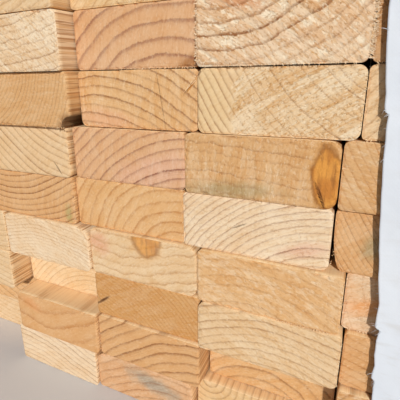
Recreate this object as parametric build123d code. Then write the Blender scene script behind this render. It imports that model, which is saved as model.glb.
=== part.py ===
"""A stacked bundle of kiln-dried pine studs with what is left of its lumber wrap.

The studs lie flat in layers, with their ends nearly flush. The front end of the bundle faces -Y,
the studs run along +Y, and the wrap covers the right-hand long side. Sizes are in millimetres.
"""
from build123d import *
import os
import random

# One stud, planed on four sides and cut to length
stud_width = 89.0
stud_thickness = 38.0
stud_length = 2353.0
edge_ease = 2.5

# Wane, the round of the trunk left along a corner of a few studs, and a corner worn in handling
wane_radius = 13.0
worn_radius = 7.0

# The stack
studs_per_layer = 16
layer_count = 13
side_gap = 1.2
side_wander = 0.4
setback_least = -3.0
setback_most = 7.0

# How far each layer, counted from the bottom, has slid to the right
layer_slides = {
    1: -1.0, 2: 5.5, 3: 3.0, 4: 3.4, 5: -8.0, 6: -6.1, 7: 1.9, 8: -0.5,
    10: -3.0, 11: 4.0, 12: -1.5, 13: 2.5,
}

# Front ends that stand out or sit back, by layer from the bottom and place from the left.
# A positive setback lies further into the bundle.
front_setbacks = {
    (1, 11): 30.0, (1, 12): -2.0, (1, 13): 0.5, (1, 14): 9.0,
    (2, 11): 25.0, (2, 12): -4.0, (2, 13): -1.5, (2, 14): 17.0,
    (3, 11): -2.5, (3, 12): 18.5, (3, 13): 1.3, (3, 14): -2.5, (3, 15): 4.0,
    (4, 11): -2.0, (4, 12): -2.0, (4, 13): 0.2, (4, 14): -1.0, (4, 15): 8.0,
    (5, 12): 0.5, (5, 13): 4.0, (5, 14): 2.4, (5, 15): 6.0,
    (6, 12): -1.5, (6, 13): 3.0, (6, 14): 1.0, (6, 15): 3.0,
    (7, 12): -6.3, (7, 13): 6.0, (7, 14): 3.3, (7, 15): 6.0,
    (8, 12): -9.5, (8, 13): 6.3, (8, 14): 1.6, (8, 15): 5.0,
    (9, 12): -10.0, (9, 13): 7.0, (9, 14): 2.0, (9, 15): 4.0,
}

# Studs with a wider gap on their left than the rest, and how much wider it is
wider_gaps = {(3, 13): 1.0, (3, 15): 1.5, (5, 15): 1.8, (8, 6): 2.5, (11, 10): 2.0}

# Studs with wane or worn corners. Each corner is a side and a level, 1 for right or top and -1 for
# left or bottom, with the radius left there.
waney_corners = {
    (4, 12): {(1, 1): wane_radius, (-1, 1): worn_radius},
    (4, 13): {(1, 1): worn_radius, (1, -1): worn_radius},
    (1, 13): {(-1, 1): wane_radius, (1, 1): wane_radius},
    (5, 15): {(-1, -1): wane_radius},
    (6, 14): {(1, 1): worn_radius, (1, -1): worn_radius},
    (7, 12): {(1, -1): worn_radius},
    (10, 3): {(-1, 1): wane_radius},
    (12, 9): {(1, 1): wane_radius},
    (2, 5): {(-1, -1): wane_radius},
}

# The wrap, a woven plastic sheet that has been cut away along a ragged line
wrap_thickness = 0.8
wrap_clearance = 0.4
wrap_end_standoff = 5.0
wrap_fold_radius = 6.0
wrap_hem_height = 36.0
# How many studs of a layer, counted from the right, lie under the flap at the back
studs_under_flap = 3

# The ragged line up the front end: how far in from the wrap's right side, at each height
front_tear = [
    (158.0, 0.0), (165.5, 84.0), (168.5, 97.0), (166.5, 112.0), (169.5, 126.0), (167.5, 130.0),
    (170.5, 172.0), (174.5, 240.0), (177.0, 246.0), (179.5, 292.0), (176.0, 360.0), (186.0, 425.0),
]
# The same line along the top: how far in, at each share of the length from front to back
top_tear = [
    (189.0, 0.0), (204.0, 0.07), (231.0, 0.19), (214.0, 0.33), (262.0, 0.46), (283.0, 0.6),
    (251.0, 0.74), (236.0, 0.88), (205.0, 1.0),
]
# And down the back end, at each height
back_tear = [(190.0, 0.0), (198.0, 130.0), (184.0, 255.0), (201.0, 380.0)]

overshoot = 20.0

stud_pitch = stud_width + side_gap
stack_height = layer_count * stud_thickness


def stud(round_corners):
    """One stud lying flat, with its front end at Y zero, centred on X and standing on Z zero."""
    end_plane = Plane(origin=(0, 0, stud_thickness / 2), x_dir=(1, 0, 0), z_dir=(0, -1, 0))
    with BuildPart() as made:
        with BuildSketch(end_plane) as section:
            Rectangle(stud_width, stud_thickness)
            for side in (-1, 1):
                for level in (-1, 1):
                    corner = sorted(section.vertices(), key=lambda v: side * v.X + level * v.Y)[-1]
                    if (side, level) in round_corners:
                        fillet(corner, round_corners[side, level])
                    else:
                        chamfer(corner, edge_ease)
        extrude(amount=-stud_length)
    return made.part.solid()


def stud_places():
    """For each layer and place from the left, a stud's centre across X and its front setback."""
    wander = random.Random(7)
    places = {}
    for layer in range(1, layer_count + 1):
        pushed = layer_slides.get(layer, 0.0)
        for place in range(1, studs_per_layer + 1):
            pushed += wider_gaps.get((layer, place), 0.0)
            middle = (place - (studs_per_layer + 1) / 2) * stud_pitch
            off_line = wander.uniform(-side_wander, side_wander)
            setback = wander.uniform(setback_least, setback_most)
            setback = front_setbacks.get((layer, place), setback)
            places[layer, place] = (middle + pushed + off_line, setback)
    return places


def layer_of_studs(layer, places):
    """The separate studs of one layer, counted from the bottom."""
    base = (layer - 1) * stud_thickness
    studs = []
    for place in range(1, studs_per_layer + 1):
        x, setback = places[layer, place]
        shape = stud(waney_corners.get((layer, place), {}))
        studs.append(shape.moved(Location((x, setback, base))))
    return studs


def folded_block(low, high, radius):
    """A block with its right-hand and top edges rounded, as a sheet folds round them."""
    size = [high[i] - low[i] for i in range(3)]
    middle = [(high[i] + low[i]) / 2 for i in range(3)]
    with BuildPart() as made:
        with Locations(tuple(middle)):
            Box(*size)
        right_edges = made.edges().filter_by(Axis.Z).group_by(Axis.X)[-1]
        top_edges = made.edges().group_by(Axis.Z)[-1].sort_by(Axis.X)[1:]
        fillet(right_edges + top_edges, radius)
    return made.part


def torn_away(line, far_left, plane, depth):
    """A block that takes everything to the left of a ragged line on a plane."""
    outline = line + [(far_left, line[-1][1]), (far_left, line[0][1])]
    with BuildPart() as made:
        with BuildSketch(plane):
            with BuildLine():
                Polyline(*outline, close=True)
            make_face()
        extrude(amount=depth)
    return made.part


def lumber_wrap(places):
    """The sheet over the right side, folded round both ends and the top, then cut back."""
    right = max(x for x, setback in places.values()) + stud_width / 2 + wrap_clearance
    front = -wrap_end_standoff
    first_under = studs_per_layer - studs_under_flap + 1
    pushing = [setback for (layer, place), (x, setback) in places.items() if place >= first_under]
    back = stud_length + max(pushing) + wrap_end_standoff
    top = stack_height + wrap_clearance
    left = right - 2 * max(inset for inset, share in top_tear)
    inner = folded_block(
        (left - overshoot, front, wrap_hem_height - overshoot), (right, back, top), wrap_fold_radius
    )
    outer = folded_block(
        (left, front - wrap_thickness, wrap_hem_height),
        (right + wrap_thickness, back + wrap_thickness, top + wrap_thickness),
        wrap_fold_radius + wrap_thickness,
    )
    above = top + overshoot
    reach = overshoot + wrap_fold_radius
    far_left = left - overshoot
    turn = (back - front) - 2 * wrap_fold_radius

    last_inset = top_tear[0][0]
    front_line = [(right - inset, z) for inset, z in front_tear] + [(right - last_inset, above)]
    front_plane = Plane(origin=(0, front - overshoot, 0), x_dir=(1, 0, 0), z_dir=(0, -1, 0))
    last_inset = top_tear[-1][0]
    back_line = [(right - inset, z) for inset, z in back_tear] + [(right - last_inset, above)]
    back_plane = Plane(origin=(0, back - wrap_fold_radius, 0), x_dir=(1, 0, 0), z_dir=(0, -1, 0))
    top_line = [(right - inset, front + wrap_fold_radius + share * turn) for inset, share in top_tear]
    top_plane = Plane.XY.offset(top - wrap_fold_radius - wrap_thickness)

    sheet = outer - inner
    sheet = sheet - torn_away(front_line, far_left, front_plane, -reach)
    sheet = sheet - torn_away(back_line, far_left, back_plane, -reach)
    sheet = sheet - torn_away(top_line, far_left, top_plane, reach + wrap_fold_radius)
    return sheet.solid()


def main():
    places = stud_places()
    nodes = {}
    for layer in range(1, layer_count + 1):
        nodes[f"layer_{layer:02d}"] = layer_of_studs(layer, places)
    nodes["wrap"] = [lumber_wrap(places)]

    # The origin is the middle of the bundle's underside
    whole = Compound([shape for shapes in nodes.values() for shape in shapes]).bounding_box()
    to_frame = Location((-whole.center().X, -whole.center().Y, -whole.min.Z))
    os.makedirs("parts", exist_ok=True)
    for name, shapes in nodes.items():
        placed = [shape.moved(to_frame) for shape in shapes]
        export_step(placed[0] if len(placed) == 1 else Compound(children=placed), f"parts/{name}.step")
    print("size", whole.size.X, whole.size.Y, whole.size.Z)
    print("moved by", to_frame.position)


main()
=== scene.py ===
"""The looks of the stacked bundle of pine studs and its lumber wrap. Lengths are in metres."""

import math
import random
from collections import namedtuple

import bmesh
import bpy
import numpy as np
from mathutils import Matrix, Vector, noise


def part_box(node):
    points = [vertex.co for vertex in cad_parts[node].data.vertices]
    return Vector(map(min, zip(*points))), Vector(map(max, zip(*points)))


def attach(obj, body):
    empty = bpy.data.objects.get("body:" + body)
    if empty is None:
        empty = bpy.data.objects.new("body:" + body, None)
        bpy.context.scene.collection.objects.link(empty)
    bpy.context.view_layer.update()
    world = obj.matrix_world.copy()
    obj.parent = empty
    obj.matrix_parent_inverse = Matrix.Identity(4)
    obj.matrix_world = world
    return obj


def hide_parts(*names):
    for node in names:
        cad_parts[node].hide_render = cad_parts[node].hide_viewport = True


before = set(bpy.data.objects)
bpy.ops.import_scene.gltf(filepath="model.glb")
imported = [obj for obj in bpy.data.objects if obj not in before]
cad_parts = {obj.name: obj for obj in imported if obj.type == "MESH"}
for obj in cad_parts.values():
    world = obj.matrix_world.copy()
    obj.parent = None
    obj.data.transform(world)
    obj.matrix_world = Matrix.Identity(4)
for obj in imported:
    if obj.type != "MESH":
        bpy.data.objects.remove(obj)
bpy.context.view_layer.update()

MM = 0.001
stud_width = 89 * MM
stud_thickness = 38 * MM
half_width = stud_width / 2
half_thick = stud_thickness / 2
layer_count = 13

# How the studs are meshed
bevel = 0.4 * MM
coarse_step = 11 * MM  # between the points round a section
fine_step = 1.1 * MM  # the same on an end that shows
relief_y = 0.7 * MM  # how far back the relief of such an end begins
ring_y = 4 * MM  # how far back the first ring of every stud lies


# Colours, as they look in plain light

def colour(red, green, blue):
    """A colour given as a screen shows it, from 0 to 255, as light."""
    return tuple((c / 255 / 12.92) if c < 10 else ((c / 255 + 0.055) / 1.055) ** 2.4
                 for c in (red, green, blue))


palest = colour(237, 214, 184)
cream = colour(230, 201, 162)
pink_cream = colour(230, 200, 168)
yellow_cream = colour(229, 196, 150)
golden = colour(225, 183, 133)
ochre = colour(210, 162, 106)
tan = colour(217, 175, 126)
salmon = colour(222, 178, 137)
orange_tan = colour(220, 175, 126)
brown = colour(204, 160, 113)
bright = colour(240, 212, 172)

brown_line = colour(150, 98, 56)
orange_line = colour(180, 118, 60)
purple_line = colour(142, 88, 66)
pale_line = colour(188, 140, 92)


# The ends that the camera sees, by layer from the bottom and place from the left.
# pith is the heart of the tree, across and up from the stud's centre, and ring is how wide a ring
# is, both in millimetres. growth over 1 makes the outer rings narrower. saw is the angle of the
# saw's marks in degrees, and calm is how far from its left the end is smooth, in millimetres.
End = namedtuple("End", "pith ring tone line contrast wave saw marks flecks growth calm",
                 defaults=(0.35, 30, 0.3, 0.0, 1.0, 0))
ends = {
    (9, 12): End((-30, 120), 6, cream, brown_line, 0.5),
    (9, 13): End((40, -90), 6.5, yellow_cream, orange_line, 0.5),
    (9, 14): End((-60, 100), 6, tan, brown_line, 0.5, 0.4, -28, 0.6, 0.3),
    (8, 11): End((-90, 120), 5, cream, brown_line, 0.6),
    (8, 12): End((-18, 215), 5, palest, brown_line, 0.65, 1, -35, 0.7, 0.4),
    (8, 13): End((27, -77), 9.5, salmon, purple_line, 0.8, 0.25, 80, 0.15),
    (8, 14): End((-33, 79), 6.9, pink_cream, brown_line, 0.95, 0.6, -38, 0.9, 0.95),
    (8, 15): End((70, 90), 5, brown, brown_line, 0.5),
    (7, 12): End((-53, 37), 3, tan, brown_line, 0.45, 0.9, 10, 0.2),
    (7, 13): End((-35, -105), 6, golden, brown_line, 0.8, 0.5, 85, 0.3, 0.1),
    (7, 14): End((92, 77), 4.3, cream, brown_line, 0.75, 0.35, 33, 1, 0.25, 1, 21),
    (7, 15): End((-120, 60), 5, cream, brown_line, 0.5, 0.3, 20, 0.4, 0.2),
    (6, 12): End((75, 106), 5.6, cream, brown_line, 0.7, 0.2, 40, 0.15),
    (6, 13): End((60, -100), 6.5, salmon, purple_line, 0.8, 0.25, 80, 0.2),
    (6, 14): End((30, 420), 6.4, tan, brown_line, 0.52, 1.1, 85, 0.4, 0.1),
    (6, 15): End((95, 80), 4, tan, orange_line, 0.6, 0.3, -20, 0.3, 0.2),
    (5, 12): End((-25, 119), 5, orange_tan, brown_line, 0.9, 0.25, 80, 0.15),
    (5, 13): End((42, -41), 7.5, golden, orange_line, 0.65, 0.45, 60, 0.2),
    (5, 14): End((48, -68), 16.5, palest, purple_line, 0.66, 0.4, 30, 0.4, 0.15, 1.55),
    (5, 15): End((130, 105), 2.8, orange_tan, brown_line, 0.62, 0.25, 40, 0.25),
    (4, 11): End((30, 160), 5, cream, brown_line, 0.4),
    (4, 12): End((-5, -110), 3, palest, pale_line, 0.6, 1, -40, 0.35, 0.1),
    (4, 13): End((-30, 240), 7, cream, pale_line, 0.75, 0.9, 40, 0.25, 0.15),
    (4, 14): End((-8, -85), 6.5, golden, brown_line, 0.4, 0.7, -25, 0.4, 0.3),
    (4, 15): End((150, 60), 6, pink_cream, orange_line, 0.35, 0.6, 20, 0.45, 0.2),
    (3, 11): End((60, 150), 5, cream, brown_line, 0.4),
    (3, 12): End((35, -71), 4.5, bright, pale_line, 0.6, 0.35, 30, 0.3, 0.1),
    (3, 13): End((-75, -95), 3, ochre, orange_line, 0.65, 0.35, 25, 0.2),
    (3, 14): End((8, -84), 5.6, cream, brown_line, 0.68, 0.35, -30, 0.4, 0.15),
    (3, 15): End((-70, -120), 5, orange_tan, orange_line, 0.6),
    (2, 11): End((40, 90), 7, golden, brown_line, 0.5),
    (2, 12): End((-14, 75), 14, orange_tan, orange_line, 0.7, 0.3, 30, 0.15),
    (2, 13): End((52, -95), 8, orange_tan, brown_line, 0.9, 0.3, 30, 0.15),
    (2, 14): End((-6, -44), 9, golden, brown_line, 0.7),
    (1, 11): End((20, 170), 5, cream, brown_line, 0.4),
    (1, 12): End((-60, -220), 5, palest, brown_line, 0.6, 0.7, 20, 0.3, 0.1),
    (1, 13): End((30, -90), 7, salmon, brown_line, 0.6, 0.4, 30, 0.3, 0.1),
}

# Knots, stains and splits on those ends: centre and half size in millimetres, turn in degrees
# and how strongly they show. Among them are a painted shadow under a splinter and painted shade in a hollow
# corner
Mark = namedtuple("Mark", "centre size turn strength", defaults=(1.0,))
knots = {
    (6, 14): Mark((38.8, -2), (8.4, 18.5), 5),
    (4, 13): Mark((5, 19), (12, 16), 14, 0.75),
    # Not a knot: a thin brown stroke, painted shadow under (7,13)'s splinter
    (7, 13): Mark((40, 8.5), (0.7, 4.8), -38, 0.9),
}
stains = {
    (7, 14): (Mark((-36, 0), (13, 24), 0, 0.45), colour(233, 208, 158)),
    (6, 14): (Mark((-16, -14), (26, 5), 4, 0.8), colour(160, 146, 108)),
    (5, 15): (Mark((-24, -1), (5, 7), 0, 0.8), colour(150, 140, 104)),
    (5, 12): (Mark((38, -11), (3.2, 7), 0, 0.9), colour(176, 164, 108)),
    (5, 14): (Mark((31, -8), (12, 4), 14, 0.6), colour(222, 160, 134)),
    (6, 13): (Mark((24, -9), (26, 11), 12, 0.7), colour(224, 178, 156)),
    (7, 13): (Mark((-26, -13), (22, 6), -4, 0.7), colour(226, 168, 132)),
    (4, 13): (Mark((-36, 7), (8, 9), 0, 0.8), colour(224, 164, 132)),
    (8, 14): (Mark((-20, 16), (13, 6), 0, 0.8), colour(216, 154, 116)),
    (4, 15): (Mark((-32, -2), (9, 5), 20, 0.8), colour(232, 156, 84)),
    (1, 13): (Mark((10, 4), (22, 7), -14, 0.9), colour(148, 146, 136)),
    (8, 13): (Mark((40, -16), (10, 4), 26, 1), colour(158, 98, 38)),
    (2, 12): (Mark((-28, 10), (10, 5), -20, 0.5), colour(226, 150, 92)),
}
splits_and_hollow_shade = {
    # Not a split: it paints the hollow corner of (7,12) dark, as painted shade, on its end and on the
    # hollow's face
    (7, 12): Mark((44.5, -19), (8.8, 8.6), 0),
    (7, 13): Mark((19.5, 1), (0.4, 17), 9, 0.28),
    (3, 13): Mark((-38, -5.5), (1, 7), -52),
    (5, 14): Mark((-7, 1), (0.35, 4.5), -62, 0.5),
    (6, 14): Mark((36, -11), (0.8, 7), 22, 0.9),
    (7, 14): Mark((-44, 15), (0.5, 3), -30, 0.8),
    (6, 12): Mark((33, -12), (0.5, 5), 35, 0.6),
}

# Corners rounder than a planed one: side, level (1 for right or top), how far they cut in across
# and up, in millimetres, and whether the corner is broken out hollow
round_corners = {
    (4, 12): [(1, 1, 16, 9), (-1, 1, 6, 5), (1, -1, 5, 5)],
    (4, 13): [(1, 1, 9, 8), (1, -1, 7, 7), (-1, 1, 4, 5)],
    (1, 13): [(-1, 1, 24, 9), (1, 1, 11, 12)],
    (1, 14): [(-1, 1, 6, 6)],
    (5, 15): [(-1, -1, 6, 28)],
    (6, 14): [(1, 1, 6, 6), (1, -1, 6, 6)],
    (5, 14): [(1, 1, 4, 4), (1, -1, 5, 5)],
    (7, 14): [(1, 1, 5, 5), (1, -1, 5, 5), (-1, 1, 5, 5), (-1, -1, 4, 5)],
    (8, 14): [(1, -1, 4, 6), (-1, -1, 3, 4)],
    (7, 13): [(-1, -1, 4.5, 4.5), (1, -1, 4, 4)],
    (7, 12): [(1, -1, 8.2, 8, True)],
    (6, 12): [(1, -1, 4, 5)],
    (6, 13): [(1, -1, 4, 4)],
    (3, 14): [(-1, 1, 6, 6), (1, -1, 4, 4)],
    (10, 3): [(-1, 1, 13, 13)],
    (12, 9): [(1, 1, 13, 13)],
    (2, 5): [(-1, -1, 13, 13)],
}

# The gaps that show between studs, to the right of each, in millimetres
seen_gaps = {
    (8, 13): 0.4, (8, 14): 0.5, (7, 12): 0.6, (7, 13): 0.6, (7, 14): 0.5, (6, 13): 0.9, (6, 14): 0.8,
    (5, 13): 0.5, (5, 14): 0.9, (4, 12): 0.7, (4, 13): 1, (4, 14): 0.6, (3, 13): 1, (3, 14): 0.9,
    (2, 12): 1, (9, 14): 0.5, (5, 15): 0.8,
}

# Fringes of torn fibres: the side of the end they hang on (1 for right, -1 for left, 2 for top and
# -2 for bottom), from where to where along it from -1 to 1, how many, and how long in millimetres
fringes = {
    (9, 14): [(-2, -0.9, 0.9, 30, 1.6), (1, -1, 1, 40, 2.6)],
    (8, 12): [(1, -0.8, 0.9, 14, 0.9)],
    (8, 13): [(1, -0.9, 0.9, 70, 1.7), (-2, -0.2, 1, 60, 1.5)],
    (8, 14): [(1, -1, 1, 150, 3.2), (-1, -1, 1, 60, 1.7), (-2, -0.95, 0.9, 60, 1.3)],
    (8, 15): [(-1, -1, 1, 50, 2.4), (-2, -1, -0.6, 14, 2)],
    (7, 12): [(-2, 0.5, 0.95, 16, 1.8), (2, 0.2, 0.9, 16, 1.2)],
    (7, 13): [(1, -0.8, 0.8, 16, 1.1), (-2, -0.6, 0.8, 24, 0.9)],
    (7, 14): [(1, -0.9, 0.9, 24, 1), (2, -0.2, 0.9, 20, 0.9)],
    (7, 15): [(-2, -1, -0.5, 18, 1.6)],
    (6, 14): [(2, -0.9, 0.9, 30, 0.9), (-2, -0.9, 0.6, 24, 0.8)],
    (6, 12): [(1, -0.9, 0.9, 16, 0.9)],
    (6, 13): [(2, -0.8, 0.8, 18, 0.8)],
    (5, 12): [(1, -0.9, 0.9, 30, 1.3)],
    (5, 13): [(1, -0.9, 0.9, 36, 1.3)],
    (5, 14): [(1, -0.9, 0.5, 10, 0.6), (-2, -0.5, 0.9, 24, 0.8)],
    (5, 15): [(-1, -0.9, 0.3, 12, 0.8)],
    (4, 14): [(-2, 0.2, 1, 40, 1.5), (1, -0.9, 0.9, 20, 1)],
    (4, 15): [(-2, -1, -0.5, 16, 1.6)],
    (3, 14): [(1, -0.9, 0.9, 30, 1.2)],
    (2, 13): [(-1, -0.9, 0.9, 16, 1.2)],
}
# Loose splinters on an end: the root and the tip across and up, and how far the tip stands off
splinters = {(7, 13): [((43.2, 14.5), (36, 4), 3.4), ((43, 12), (38, 6.5), 2.2)],
             (8, 14): [((-40, -17), (-33, -13), 1.2)],
             (3, 13): [((-44, -1.5), (-40, -6), 1.5)]}

chance = random.Random(31)


# Making materials

class Value:
    """What a material has at each point, a number, place or colour, and what is worked out of it."""

    def __init__(self, web, socket):
        self.web, self.socket = web, socket

    def sum(self, operation, other=0.0, clamp=False):
        return self.web.value("ShaderNodeMath", {0: self, 1: other}, operation=operation, use_clamp=clamp)

    def __add__(self, other):
        return self.sum("ADD", other)

    def __sub__(self, other):
        return self.sum("SUBTRACT", other)

    def __mul__(self, other):
        return self.sum("MULTIPLY", other)

    def __truediv__(self, other):
        return self.sum("DIVIDE", other)

    def range(self, low, high, to_low=0.0, to_high=1.0, smooth=True):
        return self.web.value("ShaderNodeMapRange", {0: self, 1: low, 2: high, 3: to_low, 4: to_high},
                              interpolation_type="SMOOTHSTEP" if smooth else "LINEAR")

    def ramp(self, *stops):
        """A line through (position, level) stops."""
        made = self.web.node("ShaderNodeValToRGB", {0: self})
        levels = made.color_ramp.elements
        levels[0].position, levels[1].position = stops[0][0], stops[-1][0]
        for position, level in stops[1:-1]:
            levels.new(position)
        for element, (position, level) in zip(levels, stops):
            element.color = (level, level, level, 1.0)
        return Value(self.web, made.outputs[0])

    def split(self):
        parts = self.web.node("ShaderNodeSeparateXYZ", {0: self}).outputs
        return [Value(self.web, part) for part in parts]

    def stretched(self, x, y, z):
        return self.web.value("ShaderNodeVectorMath", {0: self, 1: (x, y, z)}, operation="MULTIPLY")

    def length(self):
        return self.web.value("ShaderNodeVectorMath", {0: self}, "Value", operation="LENGTH")

    def noise(self, scale, detail=2.0, roughness=0.5, output=0):
        return self.web.value("ShaderNodeTexNoise", {
            "Vector": self, "Scale": scale, "Detail": detail, "Roughness": roughness}, output)

    def cells(self, scale):
        """A random value for each of many small cells, and how far its middle is."""
        made = self.web.node("ShaderNodeTexVoronoi", {"Vector": self, "Scale": scale, "Randomness": 1.0})
        return Value(self.web, made.outputs["Color"]).split()[0], Value(self.web, made.outputs["Distance"])

    def mix(self, share, other, blend="MIX"):
        return self.web.mix(share, self, other, blend)

    def dim(self, share, *tint):
        """The colour darkened to a share for each of red, green and blue, as far as share says."""
        return self.mix(share, self.mix(1.0, tint, "MULTIPLY"))


class Web:
    """A material's nodes, made one after another."""

    def __init__(self, name):
        self.material = bpy.data.materials.new(name)
        self.material.use_nodes = True
        self.tree = self.material.node_tree
        self.tree.nodes.clear()

    def node(self, kind, sockets, **settings):
        made = self.tree.nodes.new(kind)
        for name, value in settings.items():
            setattr(made, name, value)
        for name, value in sockets.items():
            socket = made.inputs[name]
            if isinstance(value, Value):
                self.tree.links.new(value.socket, socket)
            elif isinstance(value, tuple) and len(value) < len(socket.default_value):
                socket.default_value = (*value, 1.0)
            else:
                socket.default_value = value
        return made

    def value(self, kind, sockets, output=0, **settings):
        return Value(self, self.node(kind, sockets, **settings).outputs[output])

    def read(self, name, output="Vector"):
        return self.value("ShaderNodeAttribute", {}, output, attribute_name=name)

    def join(self, x, y, z):
        return self.value("ShaderNodeCombineXYZ", {0: x, 1: y, 2: z})

    def mix(self, share, a, b, blend="MIX"):
        return self.value("ShaderNodeMix", {0: share, 6: a, 7: b}, 2, data_type="RGBA", blend_type=blend)

    def random(self, number):
        return self.value("ShaderNodeTexWhiteNoise", {"W": number}, noise_dimensions="1D")

    def mark(self, name, soft, frayed=0.0):
        """How much of a mark covers a point, from 0 to 1, and how far out it lies, with its rim at 1."""
        across, strength, up = self.read(name).split()
        distance = self.join(across, 0.0, up).length() + frayed
        return distance.range(1.0 - soft, 1.0 + soft, 1.0, 0.0) * strength, distance

    def pine(self):
        """What a stud's materials read: place, seed, colours, a place of its own, and its rings."""
        x, y, z = self.read("place").split()
        seed = self.read("seed", "Fac")
        own = self.join(x + seed * 3.1, y, z + seed * 1.7)
        return (x, y, z, seed, self.read("tone", "Color"), self.read("line", "Color"), own,
                *growth_rings(self, x, z, seed))

    def finish(self, base, roughness, height, distance, strength, specular):
        """Ends the material, with height as bump."""
        normal = self.value("ShaderNodeBump", {"Height": height, "Distance": distance, "Strength": strength})
        shader = self.value("ShaderNodeBsdfPrincipled", {
            "Base Color": base, "Roughness": roughness, "Normal": normal, "Specular IOR Level": specular})
        self.node("ShaderNodeOutputMaterial", {"Surface": shader})
        return self.material


def growth_rings(web, place_x, place_z, seed):
    """How dark the late wood is, from 0 to 1, and the ring count, at each point of a stud.

    The grain attribute is the way from the tree's heart in rings, with the length in metres.
    """
    grain_x, along, grain_z = web.read("grain").split()
    growth, wave, contrast = web.read("look").split()

    # The heart wanders a little along the stud, from where the front end shows it
    away = along.range(0.02, 0.5) * 7
    sway_x, sway_z, _ = web.join(along * 0.9, seed * 7, 0).noise(1, output=1).split()
    x = grain_x + (sway_x - 0.5) * away
    z = grain_z + (sway_z - 0.5) * away

    # Rings are never quite round
    radius = web.join(x, 0, z).length()
    stretched = web.join(place_x + seed * 9, along * 0.06, place_z + seed * 5)
    broad = stretched.noise(22, 1) - 0.5
    fine = stretched.noise(110, 2, 0.6) - 0.5
    hair = stretched.noise(800, 1) - 0.5
    count = radius.sum("POWER", growth) + broad * (wave + 0.5) * 1.2 + fine * wave * 0.9 + hair * 0.16

    # Late wood is a thin dark line, and some rings have a fainter line or two inside
    ring = count.sum("FRACT")
    odd = web.random(count.sum("FLOOR") + seed * 50)
    late = ring.ramp((0, 0.5), (0.05, 0.05), (0.35, 0), (0.6, 0.1), (0.76, 0.32),
                     (0.86, 0.86), (0.93, 1), (0.975, 1), (1, 0.5))
    inner = ring.ramp((0.34, 0), (0.4, 0.8), (0.44, 0), (0.57, 0), (0.62, 1), (0.66, 0))
    late = late.sum("MAXIMUM", inner * odd.range(0.45, 0.9, 0, 0.42))
    return late * contrast * odd.range(0, 1, 0.55, 1.2, smooth=False), count


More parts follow.
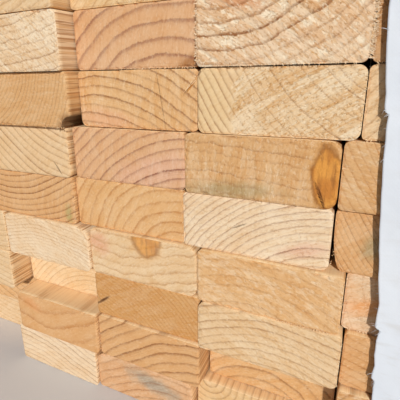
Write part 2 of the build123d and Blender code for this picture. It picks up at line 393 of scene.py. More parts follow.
def sawn_end():
    """The end grain of a cross-cut stud: rings, saw marks, torn fibres and a few marks."""
    web = Web("pine_end_grain")
    x, y, z, seed, tone, line, own, late, count = web.pine()
    saw, marks, flecks = web.read("sawing").split()

    # Part of an end can be smooth, where the saw cut clean
    beyond = x + (own.noise(60) - 0.5) * 0.02 - web.read("calm", "Fac")
    torn_here = beyond.range(-2 * MM, 3 * MM)
    marks = marks * torn_here
    rough = marks.range(0, 1, 0.25, 1)

    # Colour drifts across the end, ring by ring
    blotch = own.noise(75, 3, 0.6)
    wood = tone.dim(own.noise(26).range(0.35, 0.68, 0, 0.6), 0.95, 0.87, 0.76)
    wood = wood.dim(blotch.range(0.45, 0.7, 0, 0.55), 0.96, 0.88, 0.76)
    wood = wood.dim(web.random(count.sum("FLOOR") + seed) * 0.3, 0.95, 0.85, 0.72)

    # Stains lie under the rings
    stain, _ = web.mark("stain", 0.7, (blotch - 0.5) * 1.6)
    wood = wood.mix(stain * 0.8, web.read("stain_tint", "Color"))

    # The late wood is dark, and broken where the saw tore it
    broken = own.noise(150).range(0.3, 0.5, 0.5, 1)
    narrowed = late.sum("POWER", rough * 1.2 + 0.7)
    wood = wood.mix(narrowed * broken * marks.range(0.9, 1, 1, 0.85), line.mix(0.1, wood))

    # Saw marks: bands of torn fibres that bend as the saw's rim does
    turn = saw.sum("SINE")
    other = (saw + math.pi / 2).sum("SINE")
    across = x * turn * -1 + z * other
    lengthwise = x * other + z * turn
    bent = across + lengthwise * lengthwise * 1.5 + (own.noise(45, 1) - 0.5) * 0.0022
    scratch = web.join(bent, lengthwise * 0.07, seed * 0.9).noise(820, 2, 0.6)
    coarse = web.join(bent, lengthwise * 0.16, seed * 0.7).noise(210, 1)
    patchy = own.noise(34).range(0.36, 0.58, 0.3, 1)
    torn = coarse.range(0.4, 0.6, -1, 1) * marks * patchy
    wood = wood.dim(torn.sum("MULTIPLY", 0.42, clamp=True), 0.88, 0.72, 0.52)
    wood = wood.mix(torn.sum("MULTIPLY", -0.4, clamp=True), colour(243, 224, 194))
    wood = wood.dim(scratch.range(0.48, 0.66) * rough * 0.62, 0.85, 0.68, 0.46)

    # Torn white patches lie in rows along the saw's path, between the dark lines
    row = web.join(bent, lengthwise * 0.14, seed * 0.3).noise(150, 1)
    chip = web.join(bent, lengthwise * 0.6, seed).noise(215, 2, 0.6)
    early = late.range(0.06, 0.4, 1, 0)
    fleck = row.range(0.42, 0.58) * chip.range(0.47, 0.6) * early * flecks * torn_here
    wood = wood.mix(fleck * 0.8, colour(246, 229, 201))

    # Fine grit of cut fibres, darker where sunk and paler where proud
    fibre, _ = web.join(bent, lengthwise * 0.4, seed).cells(1350)
    speck = own.noise(520, 2, 0.65)
    sunk = fibre.range(0.5, 1) * speck.range(0.4, 0.62) * rough
    proud = fibre.range(0.42, 0) * speck.range(0.62, 0.4) * rough
    wood = wood.dim(sunk * 0.72, 0.8, 0.6, 0.38)
    wood = wood.mix(proud * 0.5, colour(247, 228, 198))

    # A knot is a branch cut through: streaks of orange and brown in a dark rim. The same mark also draws the
    # thin brown stroke on (7,13), a painted shadow under its splinter
    frayed = (own.noise(110, 3, 0.6) - 0.5) * 0.6
    halo, _ = web.mark("knot", 0.6, frayed)
    knot, distance = web.mark("knot", 0.14, frayed)
    streaks = own.stretched(1, 1, 0.16).noise(340, 3, 0.6)
    glow = own.noise(85, 1).range(0.35, 0.65)
    knot_wood = web.mix(glow, colour(222, 152, 66), colour(194, 120, 44))
    knot_wood = knot_wood.mix(streaks.range(0.46, 0.66, 0, 0.7), colour(146, 86, 32))
    rim = distance.range(0.72, 0.92) * distance.range(0.98, 1.16, 1, 0)
    knot_wood = knot_wood.mix(rim * 0.7, colour(128, 76, 30))
    wood = wood.mix(halo * 0.6, colour(218, 162, 94)).mix(knot * 0.85, knot_wood)

    # Splits are dark and deep. The same mark paints the hollow corner of (7,12) dark on the end, as painted
    # shade
    split, _ = web.mark("split", 0.5)
    split = split * own.noise(200).range(0.25, 0.45)
    wood = wood.mix(split * 0.85, colour(92, 54, 28))

    height = (narrowed * 0.3 + torn * -0.5 + sunk * -0.7 + proud * 0.5 + scratch * rough * 0.6
              + fleck * 0.5 + split * -2.5)
    roughness = (late + sunk).range(0, 1.3, 0.78, 0.62, smooth=False)
    return web.finish(wood, roughness, height, 0.00042, 1, 0.2)


def torn_fibre():
    """Loose fibres along a sawn edge, paler than the wood they hang on."""
    web = Web("pine_torn_fibre")
    tone = web.read("tone", "Color")
    streak = web.read("place").noise(900, 2, 0.6)
    pale = tone.mix(0.45, colour(246, 226, 192))
    wood = pale.mix(streak.range(0.42, 0.66), tone.mix(1, (0.86, 0.7, 0.5), "MULTIPLY"))
    return web.finish(wood, 0.8, streak, 0.0002, 0.6, 0.15)


def planed_side():
    """The planed faces: grain along the length, with knots, planer marks and handling dirt."""
    web = Web("pine_planed_side")
    x, y, z, seed, tone, line, own, late, _ = web.pine()

    # Painted light: upper faces are painted paler, as a higher lamp would light them, and so are the sides
    # close to the front end
    upper = z.range(half_thick - 0.9 * MM, half_thick - 0.2 * MM)
    near_front = y.range(6 * MM, 45 * MM, 1, 0)
    tone = tone.mix(upper * 0.9, tone.mix(0.85, colour(255, 226, 184)))
    tone = tone.mix(near_front * 0.5, tone.mix(0.6, colour(244, 212, 162)))

    # Knots, of a size that differs from cell to cell
    kind, distance = web.join((x + seed * 4.3) * 4, y * 2.3, (z + seed * 2.9) * 4).cells(1)
    distance = distance + (own.noise(90) - 0.5) * 0.02
    sizes_out = distance / (kind.range(0.2, 1, 0, 0.062, smooth=False) + 0.0001)
    knot = sizes_out.range(0.85, 1.1, 1, 0)
    near = sizes_out.range(0.9, 2.8, 1, 0)

    # Long streaks, cut across by the rings
    streak = own.stretched(1, 0.012, 1).noise(560, 2, 0.6)
    fibre = own.stretched(1, 0.03, 1).noise(1500, 2, 0.6)
    drift = own.stretched(1, 0.15, 1).noise(20)
    wood = tone.dim(drift.range(0.3, 0.7, 0, 0.4), 0.95, 0.86, 0.74)
    wood = wood.mix(late * 0.8, line.mix(0.15, wood))
    on_sides = upper.range(0, 1, 1, 0.4)
    wood = wood.dim(streak.range(0.47, 0.6, 0, 0.65) * on_sides, 0.8, 0.62, 0.42)
    wood = wood.dim(fibre.range(0.5, 0.7, 0, 0.5), 0.86, 0.72, 0.54)

    # Close to the front end the rings show as thin dark lines
    comb = web.join(x, y * 0.02, z + seed).noise(760, 1)
    comb = comb.range(0.54, 0.62) * near_front * upper.range(0, 0.5, 1, 0)
    wood = wood.mix(comb * 0.65, colour(158, 102, 54))
    # Painted shade: the split mark paints the hollow corner of (7,12) nearly black, where it lies in shade
    hollow, _ = web.mark("split", 0.2)
    wood = wood.mix(hollow * 0.96, colour(48, 25, 14))

    knot_ring = (distance * 75).sum("FRACT").ramp((0, 0.2), (0.4, 0), (0.85, 0.8), (1, 0.2))
    knot_wood = web.mix(knot_ring, colour(176, 108, 56), colour(122, 66, 30))
    wood = wood.dim(near * 0.45, 0.86, 0.66, 0.44).mix(knot, knot_wood)

    # Planer marks run across the face, closer together than a fingertip
    planer = (y * (2 * math.pi / (2.4 * MM))).sum("SINE")
    patch = own.noise(6, 1).range(0.4, 0.62)
    dirt = own.stretched(1, 0.4, 1).noise(9, 4, 0.65).range(0.56, 0.8, 0, 0.3)
    wood = wood.dim(dirt, 0.62, 0.56, 0.5)

    height = late * 0.4 + streak * 0.6 + fibre * 0.3 + planer * patch * 0.12 + knot * -0.2
    roughness = (late + streak).range(0.3, 1.4, 0.66, 0.5, smooth=False)
    return web.finish(wood, roughness, height, 0.00022, 0.7, 0.28)


def woven_wrap():
    """White woven plastic sheet: fine tapes over and under, soft creases and a little dust."""
    web = Web("white_woven_wrap")
    flat = web.read("on_sheet")
    u, v, _ = flat.split()
    turns = 2 * math.pi / (2.2 * MM)
    weave = (u * turns).sum("SINE") * (v * turns).sum("SINE")
    scuffs = flat.stretched(1, 4, 1).noise(26, 4, 0.65)
    dust = v.range(0, 0.16, 1, 0.15) * scuffs.range(0.48, 0.72)
    cloudy = flat.noise(7, 3, 0.6).range(0.3, 0.7)
    base = web.mix(cloudy, colour(226, 230, 236), colour(216, 222, 231))
    base = base.mix(weave.range(-1, 1, 0, 0.015), colour(204, 210, 222))
    base = base.mix(dust * 0.45, colour(176, 162, 140))
    height = weave * 0.012 + flat.noise(46) * 1.8
    return web.finish(base, scuffs.range(0.3, 0.8, 0.36, 0.56, smooth=False), height, 0.0012, 0.6, 0.35)


def pale_ground():
    """A plain pale floor with the faintest unevenness."""
    web = Web("pale_floor")
    spot = web.value("ShaderNodeTexCoord", {}, "Object")
    uneven = spot.noise(2.5, 3)
    base = web.mix(uneven, colour(214, 214, 216), colour(222, 222, 224))
    return web.finish(base, uneven.range(0, 1, 0.7, 0.85), spot.noise(160), 0.0003, 0.3, 0.2)


# Making the studs

def stud_boxes(node):
    """The lowest and highest corners of each stud in a layer, from left to right."""
    points = np.array([v.co[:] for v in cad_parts[node].data.vertices])
    points = points[np.argsort(points[:, 0])]
    boxes = []
    while len(points):
        own = points[:, 0] < points[0, 0] + stud_width + 0.05 * MM
        boxes.append((points[own].min(0), points[own].max(0)))
        points = points[~own]
    return boxes


def around(line):
    """Each item of a closed line with the next one."""
    return zip(line, line[1:] + line[:1])


def divided(points, parts):
    """A closed line of points with each piece divided into so many parts."""
    full = []
    for (a, b), count in zip(around(points), parts):
        full.append(a)
        for i in range(1, count):
            full.append(tuple(a[k] + i / count * (b[k] - a[k]) for k in (0, 1)))
    return full


def outline(corners):
    """The points round a stud's section, from its centre."""
    points = []
    for turn, (side, level) in enumerate([(1, -1), (1, 1), (-1, 1), (-1, -1)]):
        cut_x, cut_z, hollow = corners[side, level]
        count = 4 if max(cut_x, cut_z) < 4 * MM else 9
        arc = []
        for i in range(count + 1):
            angle = -math.pi / 2 + turn * math.pi / 2 + i / count * math.pi / 2
            arc.append((side * (half_width - cut_x) + cut_x * math.cos(angle),
                        level * (half_thick - cut_z) + cut_z * math.sin(angle)))
        if hollow:
            (x, z), (end_x, end_z) = arc[0], arc[-1]
            arc = [(x + end_x - px, z + end_z - pz) for px, pz in reversed(arc)]
        points += arc
    return divided(points, [int(math.dist(a, b) / coarse_step) for a, b in around(points)])


def mark_place(mark, x, z):
    """A point in a mark's own measure, where its rim is at 1."""
    angle = math.radians(mark.turn)
    dx, dz = x / MM - mark.centre[0], z / MM - mark.centre[1]
    along = dx * math.cos(angle) + dz * math.sin(angle)
    over = -dx * math.sin(angle) + dz * math.cos(angle)
    return along / mark.size[0], mark.strength, over / mark.size[1]


NOWHERE = Mark((4000, 4000), (10, 10), 0, 0)


def random_end():
    """An end that the camera doesn't see, drawn from the same kinds of wood."""
    tone = chance.choice([palest, cream, cream, pink_cream, yellow_cream, yellow_cream, golden,
                          tan, salmon, orange_tan])
    line = chance.choice([brown_line, brown_line, orange_line, purple_line, pale_line])
    angle = chance.uniform(0, 2 * math.pi)
    reach = chance.choice([40, 70, 90, 120, 160])
    return End((reach * math.cos(angle), reach * math.sin(angle)), chance.uniform(3.2, 8.0),
               tone, line, chance.uniform(0.45, 0.85), chance.uniform(0.2, 0.7),
               chance.uniform(-60, 60), chance.uniform(0.1, 0.8), chance.uniform(0.0, 0.5))


def lump(x, y, z):
    """Smooth noise from -1 to 1."""
    return noise.noise(Vector((x, y, z)))


# Each layer has one square texture map, here measured in its 1024 small steps: front ends in four
# rows, then back ends in two, a band round each stud, and a line for loose fibres
map_size = 1024
back_ends = {"in_row": 8, "height": 55, "bottom": 436, "margin": 2}
bands_bottom, band_height = 547, 29.3
fibres_bottom, fibre_width = 1017, 62


def end_spot(place, point, in_row=4, height=109, bottom=0, margin=3):
    """Where a point of an end lies on the map; it is a front end if not told."""
    width = map_size / in_row
    across, up = point[0] / stud_width + 0.5, point[1] / stud_thickness + 0.5
    return (place % in_row * width + margin + across * (width - 2 * margin),
            bottom + place // in_row * height + margin + up * (height - 2 * margin))


class Layer:
    """One layer's studs as a mesh, with what the materials read at each point."""

    names = ("grain", "place", "look", "sawing", "knot", "stain", "split", "seed", "calm",
             "tone", "line", "stain_tint")

    def __init__(self, number):
        self.number = number
        self.points, self.faces, self.slots, self.spots = [], [], [], []
        self.values = {name: [] for name in self.names}

    def begin(self, place, low, high, gap):
        """Sets what holds for one stud."""
        self.key = key = (self.number, place)
        self.place = place - 1
        self.end = ends.get(key) or random_end()
        self.centre = Vector(((low[0] + high[0]) / 2, low[1], (low[2] + high[2]) / 2))
        self.length = high[1] - low[1]
        self.wider = max(0.0, gap - seen_gaps[key] * MM) if key in seen_gaps else 0.0
        self.knot = knots.get(key, NOWHERE)
        self.stain, self.stain_tint = stains.get(key, (NOWHERE, tan))
        self.crack_and_hollow = splits_and_hollow_shade.get(key, NOWHERE)
        self.seed = chance.uniform(0.0, 1.0)
        self.bow = chance.uniform(-0.2, 0.2) * MM
        self.calm = -0.07 if self.end.calm == 0 else -half_width + self.end.calm * MM
        corners = {}
        for side in (-1, 1):
            for level in (-1, 1):
                cut = chance.uniform(2.2, 3.2) * MM
                corners[side, level] = (cut, cut, False)
        for side, level, cut_x, cut_z, *hollow in round_corners.get(key, []):
            corners[side, level] = (cut_x * MM, cut_z * MM, bool(hollow))
        self.section = outline(corners)
        self.shares = shares_round(self.section)

    def put(self, x, y, z):
        """Adds a point of the stud, measured from the middle of its front end."""
        end = self.end
        near = max(0.0, 1 - min(y, self.length - y) / 0.09)
        top = max(0.0, z / half_thick) ** 3
        dip = (0.55 + 0.55 * lump(x * 45, self.seed * 70, 1.5)) * MM * near * top
        wide = self.wider * (x / half_width + 1) / 2 * near
        shift = math.sin(math.pi * min(max(y, 0), self.length) / self.length) * self.bow
        self.points.append((self.centre + Vector((x + wide + shift, y, z - max(0.0, dip))))[:])
        grain = ((x / MM - end.pith[0]) / end.ring, y, (z / MM - end.pith[1]) / end.ring)
        reads = (grain, (x, y, z), (end.growth, end.wave, end.contrast),
                 (math.radians(end.saw), end.marks, end.flecks),
                 mark_place(self.knot, x, z), mark_place(self.stain, x, z), mark_place(self.crack_and_hollow, x, z),
                 self.seed, self.calm, (*end.tone, 1.0), (*end.line, 1.0), (*self.stain_tint, 1.0))
        for name, value in zip(self.names, reads):
            self.values[name].append(value)
        return len(self.points) - 1

    def face(self, corners, slot, spots):
        self.faces.append(tuple(corners))
        self.slots.append(slot)
        self.spots.extend(spots)

    def cap(self, ring, shape):
        """The flat middle of a front end."""
        self.face(reversed(ring), 0, [end_spot(self.place, point) for point in reversed(shape)])

    def band_spot(self, share, y):
        along = np.interp(y, [0, 0.06, self.length - 0.06, self.length], [2, 150, 950, 1022])
        return float(along), bands_bottom + self.place * band_height + 1 + share * 27

    def ring(self, section, y, inset, ragged=0.0):
        """A ring of points round the stud; a ragged one lies in here and there. Gives its numbers."""
        numbers = []
        for x, z in section:
            cut = inset + max(0.0, lump(x * 260, self.seed * 90 + y * 800, z * 260)) * ragged
            numbers.append(self.put(x * (1 - cut / half_width), y, z * (1 - cut / half_thick)))
        return numbers

    def join(self, near, far, near_y, far_y):
        """Side faces between two rings with as many points."""
        for j, ((a, b), (c, d)) in enumerate(zip(around(near), around(far))):
            begin, end = self.shares[j:j + 2]
            spots = [(begin, near_y), (end, near_y), (end, far_y), (begin, far_y)]
            self.face((a, b, d, c), 1, [self.band_spot(*spot) for spot in spots])

    def relief(self, x, z, edge):
        """How deep the sawn face lies at a point, edge metres in from its rim."""
        end, far = self.end, self.seed * 60
        angle = math.radians(end.saw)
        across = -x * math.sin(angle) + z * math.cos(angle)
        along = x * math.cos(angle) + z * math.sin(angle)
        bent = across + 1.5 * along * along
        torn = end.marks if x > self.calm else 0.1
        ridge = lump(bent * 230, along * 30, far) * 0.14 * torn
        tuft = max(0.0, lump(bent * 420, along * 130, far + 5) - 0.1) * 0.5 * max(end.flecks, torn * 0.5)
        grain = lump(x * 800, far + 9, z * 800) * (0.03 + 0.07 * torn)
        roll = max(0.0, 1 - edge / (0.8 * MM)) ** 2 * 0.3
        chip = max(0.0, lump(x * 300, far + 20, z * 300) - 0.2) * max(0.0, 1 - edge / (2.4 * MM)) * 2.4
        split = mark_place(self.crack_and_hollow, x, z)
        crack_and_hollow = max(0.0, 1 - math.hypot(split[0], split[2])) * split[1] * 1.2
        return (0.16 + ridge - tuft * 0.5 + grain + roll + chip + crack_and_hollow) * MM


def shares_round(section):
    """How far round the section each point lies, from 0 to 1, with the hidden underside made short."""
    steps = []
    for a, b in around(section):
        middle = (a[1] + b[1]) / 2
        weight = 0.35 if middle < -0.45 * stud_thickness else 1.5 if middle > 0.45 * stud_thickness else 1.0
        steps.append(math.dist(a, b) * weight)
    return [0.0] + list(np.cumsum(steps) / sum(steps))


def fine_front(layer, far):
    """A front end that shows: a relief of rings, one inside the other, joined to a ring behind it."""
    section, shares, number = layer.section, layer.shares, layer.place
    parts = [max(1, round(math.dist(a, b) / fine_step)) for a, b in around(section)]
    fine = divided(section, parts)
    arris = layer.ring(fine, relief_y, 0.0)

    # The faces from the fine ring back to the coarse one
    looped = arris + arris[:1]
    first = 0
    for j, (a, b) in enumerate(around(far)):
        part, begin, end = parts[j], *shares[j:j + 2]
        spots = [layer.band_spot(begin + (end - begin) * i / part, relief_y) for i in range(part + 1)]
        spots += [layer.band_spot(end, ring_y), layer.band_spot(begin, ring_y)]
        layer.face(looped[first:first + part + 1] + [b, a], 1, spots)
        first += part

    # Rings from the rim in to just short of the middle, in millimetres
    outer, outer_shape = arris, fine
    depth, rim, middle = 0.45, 0.45, 18.6
    while depth < middle:
        shape, ring = [], []
        for x, z in fine:
            inset = depth * MM
            if depth < 1:
                inset += max(0.0, lump(x * 260, layer.seed * 90, z * 260)) * 0.5 * MM
            x = x * (1 - inset / half_width)
            z = z * (1 - inset / half_thick)
            shape.append((x, z))
            ring.append(layer.put(x, max(0.0, layer.relief(x, z, (depth - rim) * MM)), z))
        corners = zip(around(outer), around(ring), around(outer_shape), around(shape))
        for (a, b), (c, d), (a_place, b_place), (c_place, d_place) in corners:
            places = (b_place, a_place, c_place, d_place)
            layer.face((b, a, c, d), 0, [end_spot(number, place) for place in places])
        outer, outer_shape = ring, shape
        depth += 0.8 if depth < 2 else 1.15
    layer.cap(outer, outer_shape)


def plain_front(layer, far):
    """A front end that doesn't show: one flat face with a bevel."""
    rim = layer.ring(layer.section, bevel, 0.0)
    layer.join(rim, far, bevel, ring_y)
    face = layer.ring(layer.section, 0.0, bevel, 0.5 * MM)
    layer.join(face, rim, 0.0, bevel)
    layer.cap(face, layer.section)


def add_stud(layer):
    """Rings along the stud, with its back end and its front end."""
    length = layer.length
    near_end, even_from = [ring_y, 14 * MM, 40 * MM, 90 * MM], 170 * MM
    stations = near_end + [even_from + (length - 2 * even_from) * i / 11 for i in range(12)]
    stations += [length - y for y in near_end[::-1] + [bevel]]
    first = near = layer.ring(layer.section, stations[0], 0.0)
    for near_y, far_y in zip(stations, stations[1:]):
        far = layer.ring(layer.section, far_y, 0.0)
        layer.join(near, far, near_y, far_y)
        near = far
    back = layer.ring(layer.section, length, bevel, 0.5 * MM)
    layer.join(near, back, stations[-1], length)
    layer.face(back, 0, [end_spot(layer.place, point, **back_ends) for point in layer.section])
    make_front = fine_front if layer.key in ends else plain_front
    make_front(layer, first)


def fibre(layer, root, way, length, thick, lift):
    """A loose fibre: a thin three-sided strip that curls forward from its root to a point."""
    across = Vector((-way[1], 0, way[0]))
    rings = []
    for share, width in ((0.0, 1.0), (0.45, 0.8), (0.8, 0.45)):
        out = lift * share * share
        middle = Vector((root[0] + way[0] * length * share, -out, root[1] + way[1] * length * share))
        wide = across * (thick * width)
        deep = Vector((0, thick * 0.8 * width, 0))
        rings.append([layer.put(*(middle + off)) for off in (wide, -wide, deep)])
    tip = layer.put(root[0] + way[0] * length, -lift, root[1] + way[1] * length)
    left, low = layer.place * fibre_width + 4, fibres_bottom
    spots = [(left, low), (left + 54, low), (left + 54, low + 4), (left, low + 4)]
    for a, b in zip(rings, rings[1:]):
        for (a1, a2), (b1, b2) in zip(around(a), around(b)):
            layer.face((a1, a2, b2, b1), 2, spots)
    for a, b in around(rings[2]):
        layer.face((a, b, tip), 2, spots[:3])
    layer.face(reversed(rings[0]), 2, spots[:3])


def add_fringes(layer):
    for side, begin, finish, count, longest in fringes.get(layer.key, []):
        for _ in range(count):
            at = chance.uniform(begin, finish)
            if abs(side) == 1:
                out = (side, chance.uniform(-0.9, 0.9))
                root = (side * (half_width - chance.uniform(0.2, 1.2) * MM), at * (half_thick - 2 * MM))
            else:
                out = (chance.uniform(-0.9, 0.9), side / 2)
                root = (at * (half_width - 2 * MM), side / 2 * (half_thick - chance.uniform(0.2, 0.9) * MM))
            size = math.hypot(*out)
            length = chance.uniform(0.35, 1.0) * longest * MM
            fibre(layer, root, (out[0] / size, out[1] / size), length,
                  chance.uniform(0.12, 0.35) * MM, chance.uniform(0.0, 0.7) * length)
    for root, tip, lift in splinters.get(layer.key, []):
        way = Vector((tip[0] - root[0], tip[1] - root[1])) * MM
        fibre(layer, (root[0] * MM, root[1] * MM), way.normalized(), way.length, 0.28 * MM, lift * MM)


def link(name, data):
    """A new object in the scene."""
    made = bpy.data.objects.new(name, data)
    bpy.context.scene.collection.objects.link(made)
    return made


def make_object(name, layer, materials):
    """A layer's studs as one object, with its materials, values and map."""
    data = bpy.data.meshes.new(name)
    data.from_pydata(layer.points, [], layer.faces)
    for material in materials:
        data.materials.append(material)
    data.polygons.foreach_set("material_index", layer.slots)
    kinds = {1: ("FLOAT", "value"), 3: ("FLOAT_VECTOR", "vector"), 4: ("FLOAT_COLOR", "color")}
    for value_name, values in layer.values.items():
        array = np.array(values, np.float32)
        kind, field = kinds[array.shape[1] if array.ndim == 2 else 1]
        data.attributes.new(value_name, kind, "POINT").data.foreach_set(field, array.ravel())
    spots = data.uv_layers.new(name="OFBake")
    spots.data.foreach_set("uv", (np.array(layer.spots, np.float32) / map_size).ravel())
    data.polygons.foreach_set("use_smooth", [slot == 1 for slot in layer.slots])
    data.update()
    return link(name, data)


pine_materials = [sawn_end(), planed_side(), torn_fibre()]
front_edges = {}

for number in range(1, layer_count + 1):
    node = f"layer_{number:02d}"
    layer = Layer(number)
    boxes = stud_boxes(node)
    for place, (low, high) in enumerate(boxes, 1):
        gap = boxes[place][0][0] - high[0] if place < len(boxes) else 1.0
        layer.begin(place, low, high, gap)
        add_stud(layer)
        add_fringes(layer)
        front_edges[number, place] = low[1]
    studs = make_object(f"studs_{number:02d}", layer, pine_materials)
    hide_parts(node)
    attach(studs, "root")


# The wrap

wrap_low, wrap_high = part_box("wrap")
cad_sheet = 0.8 * MM
sheet_thickness = 0.3 * MM
fold_radius = 6.8 * MM
front_y = wrap_low.y + cad_sheet
back_y = wrap_high.y - cad_sheet
right_x = wrap_high.x - cad_sheet / 2
top_z = wrap_high.z - cad_sheet / 2
hem_z = wrap_low.z
side_top = top_z - fold_radius
whole_run = back_y - front_y
side_run = whole_run - 2 * fold_radius

# How far the ragged line lies in from the right side, in millimetres, at each height up the front.
# The two steps are tears.
front_tear = [
    (158, 36), (160.5, 60), (162, 80), (162.7, 90.5), (164.3, 92), (164.2, 95), (163.4, 101),
    (164, 107.5), (164.3, 118), (163.6, 123.5), (166, 125), (166, 127.5), (166, 140), (167.9, 157),
    (168.7, 165), (169.6, 171), (170.6, 183), (171.8, 195), (172.6, 207), (173.8, 219), (174.3, 231),
    (174.6, 238), (174.2, 242), (176, 243.2), (176.6, 252), (177.9, 262), (179, 273), (179.4, 279),
    (180.2, 291), (178, 330), (176, 360), (181, 396), (186, 425), (188, 470), (189, 496),
]
back_tear = [(190, 36), (198, 130), (184, 255), (201, 380), (205, 496)]
# The same along the top, by share of its length
top_tear = [(189, 0), (204, 0.07), (231, 0.19), (214, 0.33), (262, 0.46), (283, 0.6), (251, 0.74),
            (236, 0.88), (205, 1)]


def along_line(points, at):
    """The first value of a line of (value, position) points, at a position."""
    return float(np.interp(at, [p[1] for p in points], [p[0] for p in points]))


def ragged(s, size):
    """How far a torn line strays at a place along it."""
    return size * (lump(s * 70, 3.3, 7.1) + 0.5 * lump(s * 310, 8.3, 1.1) + 0.3 * lump(s * 900, 2.3, 5.1))


def resting_depths(places, clear):
    """How far in the front flap can sag at the middle of each layer, clear of the studs named."""
    depths = []
    for number in range(1, layer_count + 1):
        foremost = min(front_edges[number, place] for place in places)
        depths.append(max(0.0, foremost - front_y - clear))
    # The sheet bridges a layer that sits back further than its neighbours
    for _ in range(3):
        for i, depth in enumerate(depths):
            beside = depths[max(0, i - 1):i] + depths[i + 1:i + 2]
            depths[i] = min(depth, min(beside) + 2.2 * MM)
    return depths


rest_on_last = resting_depths((15, 16), 1.4 * MM)
rest_at_edge = resting_depths((15,), 3.4 * MM)
layer_heights = [(i + 0.5) * stud_thickness for i in range(layer_count)]


def sag(share, z):
    """How far the front flap lies in from its plane, towards the ends that it rests on."""
    held = float(np.interp(z, layer_heights, rest_on_last)) * min(1.0, share * 1.6)
    loose = float(np.interp(z, layer_heights, rest_at_edge))
    past_last = min(1.0, max(0.0, (share - 0.6) / 0.36))
    past_last = past_last * past_last * (3 - 2 * past_last)
    return held + max(0.0, loose - held) * past_last


def crease(s, t):
    """How far the sheet stands off where it is creased, in metres."""
    soft = 0.5 + 0.5 * lump(s * 3.1, t * 4.3, 0.7)
    long_fold = max(0.0, 1 - abs(lump(s * 2.2 + 5 * t, t * 9.0 - s * 1.5, 4.2)) * 7)
    cross_fold = max(0.0, 1 - abs(lump(s * 5.0 - 6 * t, t * 5.0 + 2, 9.2)) * 9)
    small_fold = max(0.0, 1 - abs(lump(s * 14 + 9 * t, t * 17.0, 6.2)) * 6)
    return (2.0 * soft + 1.9 * long_fold ** 1.5 + 1.3 * cross_fold ** 1.5 + 0.5 * small_fold) * MM


# The columns of the sheet from the front flap's edge round to the back flap's, as kinds and shares
flap = [1 - share for share in (
    0, 0.005, 0.015, 0.03, 0.05, 0.075, 0.1, 0.13, 0.16, 0.2, 0.24, 0.29, 0.35, 0.42, 0.5, 0.58,
    0.66, 0.74, 0.82, 0.89, 0.94, 0.975)]
corner = [i / 6 for i in range(7)]
kinds = [("front", flap), ("front_corner", corner), ("side", [i / 170 for i in range(1, 170)]),
         ("back_corner", corner), ("back", flap[::-1])]
columns = [(kind, share) for kind, shares in kinds for share in shares]


def sheet_point(kind, share, z, angle):
    """A point of the sheet without creases, the way it faces and how far round it lies."""
    level, lift = math.cos(angle), math.sin(angle)
    pull = fold_radius * (1 - level)
    z = z + fold_radius * lift
    if kind == "side":
        y = front_y + fold_radius + share * side_run
        return Vector((right_x - pull, y, z)), Vector((level, 0, lift)), y - front_y
    if kind in ("front", "back"):
        if kind == "front":
            inset = along_line(front_tear, z / MM) * MM + ragged(z, 0.5 * MM) * share
            y, out, s = front_y + pull + sag(share, z) * level, -level, -share * inset
        else:
            inset = along_line(back_tear, z / MM) * MM + ragged(z + 3, 0.9 * MM) * share
            y, out, s = back_y - pull, level, whole_run + share * inset
        x = right_x - fold_radius - share * (inset - fold_radius)
        return Vector((x, y, z)), Vector((0, out, lift)), s
    turn = share * math.pi / 2
    if kind == "front_corner":
        out, from_y, s = -math.cos(turn), front_y + fold_radius, share * fold_radius
    else:
        turn = math.pi / 2 - turn
        out, from_y, s = math.cos(turn), back_y - fold_radius, whole_run - (1 - share) * fold_radius
    radius = fold_radius - pull
    place = Vector((right_x - fold_radius + radius * math.sin(turn), from_y + radius * out, z))
    return place, Vector((math.sin(turn) * level, out * level, lift)), s


def hold(kind, share):
    """How far the creases stand off on each part of the sheet."""
    if kind == "front":
        return (0.3 + 0.3 * share) * (1 - 3.5 * max(0.0, share - 0.8))
    if kind == "side":
        return 0.6 + 0.7 * min(1.0, share * 12, (1 - share) * 12)
    return 0.8 if kind == "back" else 0.6


def sheet_spot(s, t, inner):
    """A place of the flat sheet on the texture map, in shares; the inner face has a narrow strip."""
    across = float(np.interp(s, [-0.2, 0.0, whole_run, whole_run + 0.22], [0.003, 0.3, 0.86, 0.997]))
    up = float(np.interp(t, [-0.01, 0.78], [0.003, 0.8]))
    return across, (0.86 + up * 0.16) if inner else up


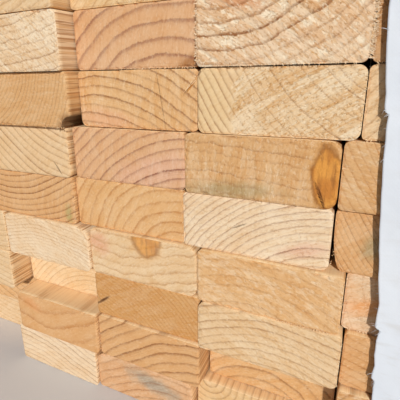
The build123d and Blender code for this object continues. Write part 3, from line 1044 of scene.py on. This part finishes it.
def make_wrap():
    """The outer face of the sheet: its points, its faces and their places on the flat sheet."""
    heights = sorted([hem_z + (side_top - hem_z) * i / 84 for i in range(85)]
                     + [z * MM for v, z in front_tear if 37 < z < 480])
    straight = [a for a, b in zip(heights, heights[1:] + [1.0]) if b - a > 0.3 * MM]
    rows = [(z, 0.0) for z in straight] + [(side_top, i / 6 * math.pi / 2) for i in range(1, 7)]
    points, flat, faces, grid = [], [], [], []
    for z, angle in rows:
        grid.append(range(len(points), len(points) + len(columns)))
        for kind, share in columns:
            point, normal, s = sheet_point(kind, share, z, angle)
            t = z - hem_z + fold_radius * angle
            off = crease(s, t) * hold(kind, share) * (0.6 if angle > 0 else 1.0)
            points.append(point + normal * off)
            flat.append((s, t))

    # The top flap hangs on the last row, between the front flap's upper fold and the back flap's
    last, side_first, side_count = grid[-1], len(flap) + len(corner), len(columns) - 2 * len(flap + corner)
    top = []
    for _, along in columns[side_first:side_first + side_count]:
        top.append(range(len(points), len(points) + len(flap)))
        y = front_y + fold_radius + along * side_run
        inset = along_line(top_tear, along) * MM + ragged(y + 9, 1.6 * MM)
        for share in flap:
            in_from_fold = share * (inset - fold_radius)
            t = side_top - hem_z + fold_radius * math.pi / 2 + in_from_fold
            off = crease(y - front_y, t) * (0.5 if share > 0.03 else 0.6)
            points.append(Vector((right_x - fold_radius - in_from_fold, y, top_z + min(off, 2.6 * MM))))
            flat.append((y - front_y, t))
    # Its rows end on the side's last row, and its ends on the flaps'
    on_side = [list(row) + [last[side_first + i]] for i, row in enumerate(top)]
    for rows_of in (grid, on_side):
        for low, high in zip(rows_of, rows_of[1:]):
            faces += [(low[j], low[j + 1], high[j + 1], high[j]) for j in range(len(low) - 1)]
    for row, line in ((on_side[0], list(last)), (on_side[-1], list(last)[::-1])):
        inner = len(flap) - 1
        faces += [(line[j], line[j + 1], row[j + 1], row[j]) for j in range(inner)]
        faces.append((*line[inner:side_first + 1], row[inner]))
    return points, faces, flat


def loose_threads(first):
    """Threads that hang from the torn edge of the front flap: points, faces and map places."""
    points, faces, spots = [], [], []
    for i in range(30):
        z = chance.choice([0.092, 0.125, 0.243]) + chance.gauss(0, 3 * MM)
        if i % 2:
            z = chance.uniform(0.06, 0.46)
        root = sheet_point("front", 1.0, z, 0.0)[0] + Vector((1.0 * MM, -0.3 * MM, 0))
        length = chance.uniform(1.2, 4.5) * MM
        way = Vector((chance.uniform(-1, -0.2), chance.uniform(-0.6, 0.1), chance.uniform(-0.9, 0.9)))
        way.normalize()
        droop = chance.uniform(0.0, 0.35) * length
        thick = chance.uniform(0.1, 0.22) * MM
        rings = []
        for share, width in ((0.0, 1.0), (0.35, 0.9), (0.7, 0.7), (1.0, 0.35)):
            middle = root + way * length * share + Vector((0, 0, -droop * share * share))
            rings.append([first + len(points) + j for j in range(3)])
            for turned in map(math.radians, (90, 210, 330)):
                points.append(middle + Vector((math.cos(turned), 0, math.sin(turned))) * thick * width
                              + Vector((0, math.cos(turned * 2) * thick * width * 0.5, 0)))
        left, low = 0.01 + 0.032 * i, 0.815
        patch = [(left, low), (left + 0.028, low), (left + 0.028, low + 0.03), (left, low + 0.03)]
        for near, far in zip(rings, rings[1:]):
            for (a, b), (c, d) in zip(around(near), around(far)):
                faces.append((a, b, d, c))
                spots += patch
        faces += [rings[0][::-1], rings[3]]
        spots += patch[:3] * 2
    return points, faces, spots


def thick_sheet(points, faces, flat):
    """The sheet as a thin closed mesh, with its threads and its map."""
    shape = bmesh.new()
    made = [shape.verts.new(point) for point in points]
    for corners in faces:
        shape.faces.new([made[i] for i in corners])
    shape.verts.index_update()
    bmesh.ops.recalc_face_normals(shape, faces=shape.faces)
    broadest = max(shape.faces, key=lambda face: abs(face.normal.x) * face.calc_area())
    if broadest.normal.x < 0:
        bmesh.ops.reverse_faces(shape, faces=shape.faces)
    shape.normal_update()
    places = [v.co[:] for v in made] + [(v.co - v.normal * sheet_thickness)[:] for v in made]
    count = len(made)
    outer = [[v.index for v in face.verts] for face in shape.faces]
    inner = [[n + count for n in reversed(numbers)] for numbers in outer]
    for edge in shape.edges:
        if edge.is_boundary:
            loop = edge.link_loops[0]
            a, b = loop.vert.index, loop.link_loop_next.vert.index
            inner.append([b, a, a + count, b + count])
    shape.free()
    spots = [sheet_spot(*flat[n], False) for numbers in outer for n in numbers]
    spots += [sheet_spot(*flat[n % count], True) for numbers in inner for n in numbers]

    threads, thread_faces, thread_spots = loose_threads(len(places))
    mesh = bpy.data.meshes.new("lumber_wrap")
    mesh.from_pydata(places + threads, [], outer + inner + thread_faces)
    laid = [(s + 0.4, t, 0.0) for s, t in flat] * 2 + [(0.4, p[2], 0.0) for p in threads]
    on_sheet = mesh.attributes.new("on_sheet", "FLOAT_VECTOR", "POINT")
    on_sheet.data.foreach_set("vector", np.array(laid, np.float32).ravel())
    on_map = mesh.uv_layers.new(name="OFBake")
    on_map.data.foreach_set("uv", np.array(spots + thread_spots, np.float32).ravel())
    mesh.polygons.foreach_set("use_smooth", [True] * len(mesh.polygons))
    return mesh


wrap = link("lumber_wrap", thick_sheet(*make_wrap()))
wrap.data.materials.append(woven_wrap())
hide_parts("wrap")
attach(wrap, "root")


# The floor, the light and the camera

floor_mesh = bpy.data.meshes.new("floor")
reach = 30.0
floor_mesh.from_pydata([(-reach, -reach, 0), (reach, -reach, 0), (reach, reach, 0), (-reach, reach, 0)],
                       [], [(0, 1, 2, 3)])
floor_mesh.materials.append(pale_ground())
floor = link("floor", floor_mesh)
floor.location.z = -0.3 * MM


def sun(name, towards, strength, softness, tint):
    lamp = bpy.data.lights.new(name, "SUN")
    lamp.energy = strength
    lamp.angle = math.radians(softness)
    lamp.color = tint
    link(name, lamp).rotation_euler = Vector(towards).to_track_quat("-Z", "Y").to_euler()


sun("key_light", (-0.41, 0.81, -0.43), 3.05, 3.0, (1.0, 0.985, 0.955))
sun("back_light", (0.5, -0.7, -0.6), 1.0, 30.0, (0.95, 0.97, 1.0))

world = bpy.data.worlds.new("studio")
world.use_nodes = True
sky = world.node_tree.nodes["Background"].inputs
sky[0].default_value = (0.86, 0.93, 1.0, 1.0)
sky[1].default_value = 0.13
bpy.context.scene.world = world
bpy.context.scene.view_settings.view_transform = "Standard"

# The camera stands close to the front end, a little to the right, and looks down and left
picture_side = 400
picture_centre = (176, 188)
focal_pixels = 375.4
front_plane = wrap_low.y + 5.8 * MM
yaw, pitch, roll = math.radians(26.62), math.radians(17.25), math.radians(1.35)

ahead = Vector((-math.sin(yaw) * math.cos(pitch), math.cos(yaw) * math.cos(pitch), -math.sin(pitch)))
level_right = Vector((math.cos(yaw), math.sin(yaw), 0))
level_down = ahead.cross(level_right)
right = level_right * math.cos(roll) + level_down * math.sin(roll)
down = level_down * math.cos(roll) - level_right * math.sin(roll)

lens = bpy.data.cameras.new("camera")
lens.sensor_width = 36
lens.lens = focal_pixels / picture_side * lens.sensor_width
lens.shift_x = (picture_side / 2 - picture_centre[0]) / picture_side
lens.shift_y = (picture_centre[1] - picture_side / 2) / picture_side
lens.clip_start = 0.02
camera = link("camera", lens)
turn = Matrix((right, -down, -ahead)).transposed().to_4x4()
camera.matrix_world = Matrix.Translation((0.5438, front_plane - 0.2062, 0.2639)) @ turn
bpy.context.scene.camera = camera

bpy.context.view_layer.update()
